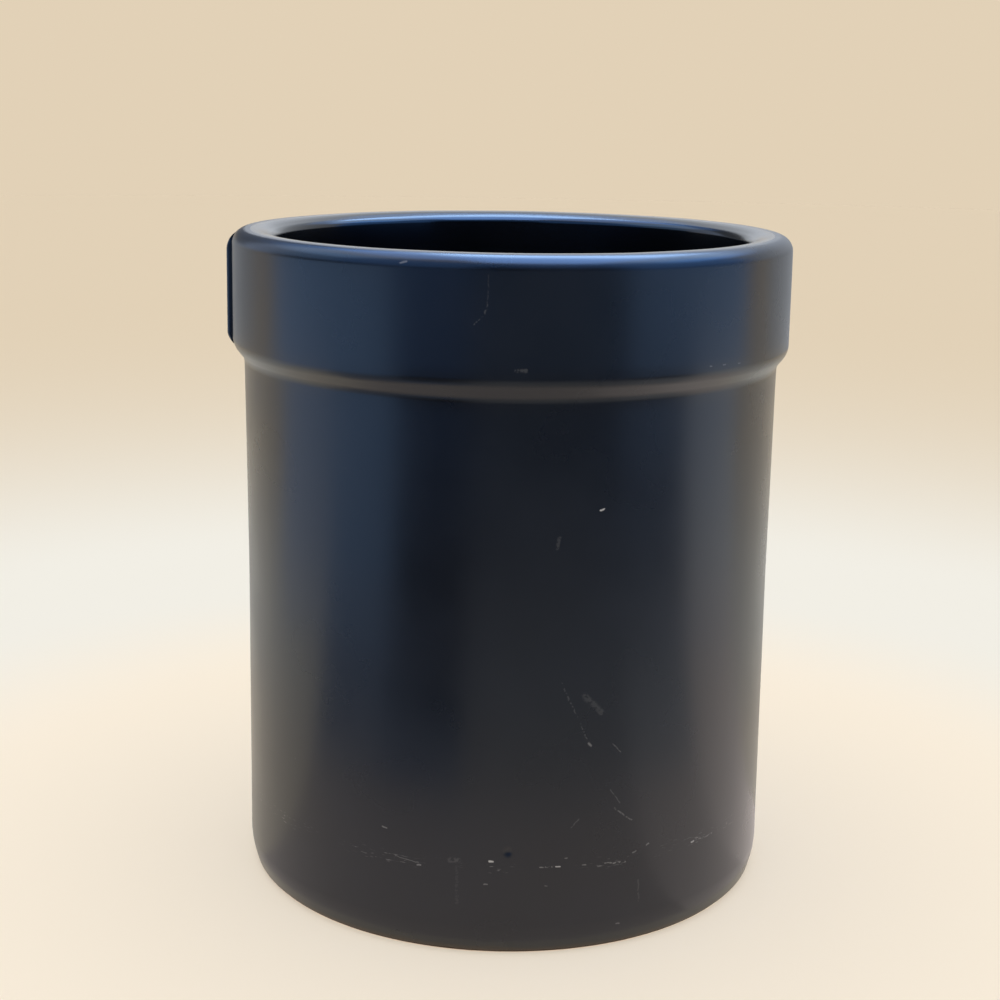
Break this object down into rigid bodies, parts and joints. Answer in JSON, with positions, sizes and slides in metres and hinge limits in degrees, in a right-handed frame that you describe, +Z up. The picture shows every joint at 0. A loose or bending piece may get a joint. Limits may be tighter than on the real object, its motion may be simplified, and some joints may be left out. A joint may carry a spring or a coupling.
{
  "type": "utensil crock",
  "caption": "Round glazed stoneware crock for kitchen utensils, with a thick collar round its open mouth, a blank raised plaque and a bare foot ring.",
  "frame": {"origin": "on the table, at the middle of the foot ring", "axes": "+Z up along the crock's axis, -Y towards the raised plaque, which is the front, +X to the right of it"},
  "size_m": [0.1516, 0.1532, 0.178],
  "materials": {
    "bare_stoneware": "bare fired clay, fine sanded grain",
    "satin_outer_glaze": "satin blue-black glaze with fine scuffs",
    "liner_glaze": "satin black liner glaze, smoother than the outside",
    "base_glaze": "satin black glaze, thinner than the outside"
  },
  "bodies": {
    "root": {"stoneware_body": "bare_stoneware", "outer_glaze": "satin_outer_glaze", "liner_glaze": "liner_glaze", "base_glaze": "base_glaze", "raised_plaque": "satin_outer_glaze"}
  },
  "joints": []
}
